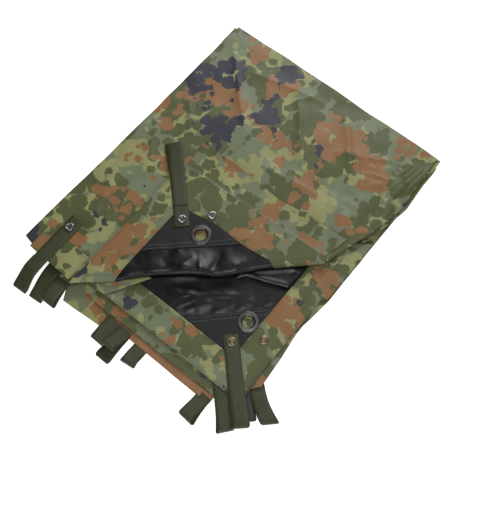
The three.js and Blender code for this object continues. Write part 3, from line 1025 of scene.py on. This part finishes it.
# Each half of a press fastener: the profiles of its ring and of its centre, metal and slot.
SNAP_HALVES = {
    "socket": (
        [(2.8, 0), (7.3, 0), *arc((5.6, 1.3), 1.7, -20, 160, 9), (4.0, 1.0), (2.8, 1.0)],
        [(0.4, 0.2), (2.6, 0.2), (2.6, 1.6), (2.2, 2.1), (1.3, 2.1), (1.1, 0.9), (0.4, 0.9)],
        NICKEL, "nickel",
    ),
    "stud": (
        [(2.8, 0), (7.3, 0), *arc((6.3, 0.7), 1.0, -30, 150, 7), (4.7, 0.7), (4.3, 2.4), (3.9, 2.9),
         (3.2, 2.9), (2.8, 2.5)],
        [(0.4, 0.2), (2.6, 0.2), (2.6, 1.3), (1.9, 1.6), (1.2, 1.0), (0.4, 1.0)],
        BRASS, "antique_brass",
    ),
}
# How far a fastener half stands below its node's top.
SNAP_HEIGHT = 3.0


def build_snap(name, kind, body):
    """One half of a press fastener, and the cap with its post on the other side of the fabric."""
    ring, centre, metal, slot = SNAP_HALVES[kind]
    half = f"{name}_{kind}"
    base = node_levels(half)[1] - SNAP_HEIGHT
    turned(half + "_ring", ring, half, metal, body, slot, base)
    low, high = node_levels(name + "_cap")
    post = [(0.3, low), (5.6, low), (7.0, low + 0.8), (7.0, low + 1.5), (2.3, low + 1.5)]
    post += [(2.3, high), (0.3, high)]
    turned(half + "_cap", post, name + "_cap", metal, body, slot)
    turned(half + "_centre", centre, half, metal, body, slot, base)


# ---- The cover and its hem ----

# The cover's right end is gathered in a little by its folds, and a second ply shows past it.
GATHERED_END = [(197, 57), (207, 88), (215, 122), (220, 158)]
SECOND_PLY = [(150, 96), (196, 64), (213, 92), (220, 122), (226, 158), (219, 268), (150, 262)]


def build_cover():
    outline, *holes = node_loops("cover_panel")
    gathered = [p[0] > 186 and 50 < p[1] < 160 for p in outline]
    kept = [p for p, lost in zip(outline, gathered) if not lost and fold_coordinates(*p)[1] > 3]
    fold_ends = [flat_point(-FOLD_HALF, 4.0), flat_point(FOLD_HALF, 4.0)]
    loop = order_round(kept + GATHERED_END + [tuple(p) for p in fold_ends])
    cover = cloth("cover_cloth", [wavy(loop, 0.8, 61, 20.0), *holes], cover_surface, (CAMOUFLAGE, LINING),
                  thick=1.5, step=3.6, rim_step=3.0)
    settle(cover, "pack", "camouflage", "cover_panel")
    ply = cloth("cover_second_ply", [wavy(SECOND_PLY, 1.0, 63, 20.0)], level_surface(17.9, 64, 0.1),
                (CAMOUFLAGE,), thick=1.1, step=12.0, rim_step=4.0, print_at=(0, 5))
    settle(ply, "pack", "camouflage")
    hem = cloth("cover_front_hem_cloth", node_loops("cover_front_hem"), cover_surface, (CAMOUFLAGE,),
                thick=1.3, lift=1.6, step=4.0, print_at=(0, 4))
    settle(hem, "pack", "camouflage", "cover_front_hem")


def order_round(points):
    """Plan points of a convex-like outline, put in order round their middle."""
    points = np.array(points)
    middle = points.mean(0)
    turn = np.arctan2(points[:, 1] - middle[1], points[:, 0] - middle[0])
    return points[np.argsort(turn)]


# ---- The mouth: lower panel, hems, patch ----

# Where the mouth closes at both ends its cloth bunches up between the two panels.
MOUTH_RIGHT_FOLD = [(86, -108), (96, -93), (128, -81), (160, -67), (161, -22), (140, -36), (100, -74),
                    (82, -96)]
MOUTH_LEFT_CORNER = [(-112, -262), (-60, -256.5), (-57, -255), (-28.5, -208), (-18, -190), (-36, -190),
                     (-66, -214), (-104, -246)]


def right_fold_height(x, y):
    """A soft step down to the lower panel, with a ridge where it turns under."""
    _, inward = fold_coordinates(x, y)
    to_rim = rim_distance(np.stack([x, y], axis=-1), [MOUTH_RIGHT_FOLD])
    ridge = 1.6 * np.exp(-(((to_rim - 4) / 4) ** 2))
    return 13.4 + ridge + 0.5 * ripple(x, y, 16, 41) + 0.8 * smooth(inward / 12)


def left_corner_height(x, y):
    """A gentle rise towards the fold."""
    _, inward = fold_coordinates(x, y)
    return 11.2 + 3.0 * smooth((inward + 26) / 30) + 0.5 * ripple(x, y, 20, 43)


def build_lower_mouth():
    panel = cloth("lower_lining", node_loops("lower_mouth_panel"), lower_surface, (LINING, CAMOUFLAGE),
                  thick=1.0, step=3.6, print_at=(5, 0))
    parts = []
    for node, material, lift, spot in (
        ("lower_corner_patch", PATCH, 1.1, 1), ("lower_hem_front", CAMOUFLAGE, 1.2, 2),
        ("lower_hem_side", CAMOUFLAGE, 1.2, 3), ("side_overlap", CAMOUFLAGE, 2.3, 4),
    ):
        piece = cloth(node + "_cloth", node_loops(node), lower_surface, (material,),
                      thick=1.0, lift=lift, step=4.0, print_at=(5 + spot, 1))
        parts.append((piece, node))
    for name, outline, height, material in (
        ("mouth_right_fold", MOUTH_RIGHT_FOLD, right_fold_height, LINING),
        ("mouth_left_corner", MOUTH_LEFT_CORNER, left_corner_height, CAMOUFLAGE),
    ):
        piece = cloth(name, [outline], raised(height), (material,), thick=1.0, step=3.6, print_at=(4, 6))
        parts.append((piece, "lower_mouth_panel"))
    for piece, node in [(panel, "lower_mouth_panel"), *parts]:
        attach(piece, "pack")
        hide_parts(node)


# ---- The turned-back corner ----


def past_fold(loop, reach):
    """A flap outline run on round the fold: each edge that ends at the fold is carried on until it
    is reach beyond it, straight on where it can be and square to the fold where it is too slanted."""
    near = [fold_coordinates(*point)[1] < 9 for point in loop]
    moved = []
    for k, point in enumerate(loop):
        if not near[k]:
            moved.append(point)
            continue
        for other in (k - 1, (k + 1) % len(loop)):
            if near[other]:
                continue
            run = np.subtract(point, loop[other])
            run /= np.hypot(*run)
            towards = -run @ FOLD_INWARD
            along, inward = fold_coordinates(*point)
            if towards > 0.5:
                moved.append(tuple(point + run * (inward + reach) / towards))
            else:
                moved.append(tuple(flat_point(along, -reach)))
    return moved


# The top hem spreads wider than its pattern towards the fold, over the corner patch. These are
# its inner edge, how far along the fold it ends, and where it meets the patch's seam.
SPREAD_HEM = [(2.0, -58.0), (60.0, -59.5), (108.0, -52.0)]
HEM_TIP = 121.0
PATCH_CORNER = (57.5, -60.5)


def spread_hem(outline):
    """The top hem's outline with its inner edge spread."""
    near = [p for p in outline if fold_coordinates(*p)[1] < 9]
    tip = outline.index(min(near, key=lambda p: fold_coordinates(*p)[0]))
    return outline[:tip] + SPREAD_HEM + [tuple(flat_point(HEM_TIP, 6.0))] + outline[tip + 1 :]


def trimmed_patch(outline):
    """The flap's corner patch as far as the spread hem leaves it in sight."""
    corner = outline.index(max(outline))
    return outline[:corner] + [PATCH_CORNER, (2.0, -59.0)] + outline[corner + 1 :]


RESHAPED = {"flap_hem_top": spread_hem, "flap_corner_patch": trimmed_patch}


def fold_with_flap(piece):
    """Bakes a piece's transform into its mesh."""
    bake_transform(piece)


def build_flap():
    outline, *holes = node_loops("flap_panel")
    panel = cloth("flap_lining", [past_fold(outline, 20.0), *holes], flap_surface, (LINING, CAMOUFLAGE),
                  thick=0.9, step=3.0, rim_step=3.0, print_at=(9, 0))
    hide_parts("flap_panel")
    parts = []
    for spot, (node, material, reach) in enumerate((
        ("flap_corner_patch", PATCH, None),
        ("flap_hem_left", CAMOUFLAGE, 14.0),
        ("flap_hem_top", CAMOUFLAGE, 14.0),
    )):
        outline, *holes = node_loops(node)
        outline = RESHAPED.get(node, list)(outline)
        shape = outline if reach is None else past_fold(outline, reach)
        piece = cloth(node + "_cloth", [shape, *holes], flap_surface, (material,),
                      thick=0.95, lift=1.15, step=3.6, print_at=(10 + spot, 1))
        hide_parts(node)
        parts.append(piece)
    for piece in (panel, *parts):
        fold_with_flap(piece)


# The strip is sewn on under the flap's edge: how far it runs in there, and how far below the middle
# of the flap's lining it lies.
STRIP_SEAM_DEPTH = 7.0
STRIP_BELOW_LINING = 1.1


def build_storm_strip():
    loop = node_loops("storm_strip")[0]
    outer = np.array(sorted(p for p in loop if p[1] > 40))
    seam = np.array(sorted(p for p in loop if p[1] < 20))
    rooted = [(0.98 * x, y - STRIP_SEAM_DEPTH) if y < 20 else (x, y) for x, y in loop]

    def surface(x, y):
        edge = np.interp(x, outer[:, 0], outer[:, 1])
        curl = 4.2 * np.exp(-np.maximum(edge - y, 0) / 6.0) * (0.7 + 0.3 * ripple(x, y, 45, 71))
        tip = 4.0 * hump(x, y, (-107, 42), 16)
        laid = STORM_MIDDLE + curl + tip + 0.3 * ripple(x, y, 30, 72)
        sewn = smooth((np.interp(x, seam[:, 0], seam[:, 1]) + 3 - y) / 6)
        height = laid + (flap_height(x, y) - STRIP_BELOW_LINING - laid) * sewn
        return np.stack([x, y, height], axis=-1)

    strip = cloth("storm_strip_cloth", [wavy(rooted, 0.8, 73, 18.0)], surface, (CAMOUFLAGE,),
                  thick=1.0, step=3.6, print_at=(14, 0))
    bend(strip)
    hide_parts("storm_strip")


# ---- Everything ----


def build_seams():
    """Thread on the lining and the hems."""
    low = min(node_loops("flap_corner_patch")[0], key=lambda p: p[1])
    rows = [(flap_surface, *inner_line(low, PATCH_CORNER, away), 1.75) for away in (2.5, 9.0)]
    fold_with_flap(stitches("flap_seam_stitches", rows, GREY_THREAD))
    patch = node_loops("lower_corner_patch")[0]
    left, top = min(patch), max(patch, key=lambda p: p[1])
    rows = [(lower_surface, *inner_line(left, top, -away), 1.75) for away in (2.5, 9.0)]
    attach(stitches("lower_seam_stitches", rows, GREY_THREAD), "pack")
    rows = border_rows(node_loops("flap_hem_left")[0], flap_surface, 1.75)
    rows += border_rows(spread_hem(node_loops("flap_hem_top")[0]), flap_surface, 1.75)
    fold_with_flap(stitches("flap_hem_stitches", rows, OLIVE_THREAD))
    rows = [
        row for node in ("lower_hem_front", "lower_hem_side")
        for row in border_rows(node_loops(node)[0], lower_surface, 1.8)
    ]
    rows += border_rows(node_loops("cover_front_hem")[0], cover_surface, 2.35)
    rows += [(lower_surface, (x, -38 + (210 - x) * 0.7), (x, 34), 2.9) for x in (203, 196, 189)]
    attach(stitches("pack_hem_stitches", rows, OLIVE_THREAD), "pack")


def build_hardware():
    build_grommet("flap_grommet", "flap")
    build_grommet("lower_grommet", "pack")
    for name, kind, body in (
        ("flap_hem_snap", "socket", "flap"), ("flap_strap_snap", "socket", "flap"),
        ("left_strap_snap", "socket", "pack"), ("lower_hem_snap", "stud", "pack"),
        ("lower_strap_snap", "stud", "pack"),
    ):
        build_snap(name, kind, body)


def build_stage():
    """Pale floor and soft studio light."""
    bpy.ops.mesh.primitive_plane_add(size=6.0)
    floor = bpy.context.object
    floor.name = "floor"
    paper = Shading("paper", 0.9)
    paper.shader.inputs["Base Color"].default_value = (0.95, 0.95, 0.95, 1.0)
    paper.shader.inputs["Emission Color"].default_value = (1.0, 1.0, 1.0, 1.0)
    paper.shader.inputs["Emission Strength"].default_value = 0.8
    floor.data.materials.append(paper.material)
    world = bpy.data.worlds.new("studio")
    world.use_nodes = True
    world.node_tree.nodes["Background"].inputs["Color"].default_value = (1.0, 1.0, 1.0, 1.0)
    world.node_tree.nodes["Background"].inputs["Strength"].default_value = 0.17
    bpy.context.scene.world = world
    for name, place, size, power in (
        ("window", (-0.55, 1.35, 1.15), 0.8, 22.0),
        ("overhead", (0.24, -0.20, 1.50), 0.45, 7.0),
        ("side", (1.3, -0.9, 0.9), 0.6, 4.0),
        ("front", (0.55, -1.5, 0.5), 0.8, 6.0),
    ):
        data = bpy.data.lights.new(name, "AREA")
        data.size, data.energy = size, power
        light = bpy.data.objects.new(name, data)
        light.location = place
        light.rotation_mode = "QUATERNION"
        light.rotation_quaternion = Vector(place).to_track_quat("Z", "Y")
        bpy.context.scene.collection.objects.link(light)


CAMERA_AZIMUTH = math.radians(39.07)
CAMERA_ELEVATION = math.radians(68.03)
CAMERA_DISTANCE = 1.3893
CAMERA_TARGET = Vector((0.06875, -0.05804, 0.0))
CAMERA_LENS = 61.16


def build_camera():
    a, e = CAMERA_AZIMUTH, CAMERA_ELEVATION
    back = Vector((math.sin(a) * math.cos(e), -math.cos(a) * math.cos(e), math.sin(e)))
    data = bpy.data.cameras.new("camera")
    data.lens = CAMERA_LENS
    data.sensor_width = 36.0
    camera = bpy.data.objects.new("camera", data)
    camera.location = CAMERA_TARGET + back * CAMERA_DISTANCE
    camera.rotation_mode = "QUATERNION"
    camera.rotation_quaternion = back.to_track_quat("Z", "Y")
    bpy.context.scene.collection.objects.link(camera)
    bpy.context.scene.camera = camera


build_stage()
build_camera()
build_sack()
build_cover()
build_lower_mouth()
build_flap()
build_storm_strip()
build_peg_loops()
build_straps()
build_hardware()
build_seams()
bpy.context.scene.view_settings.view_transform = "Standard"
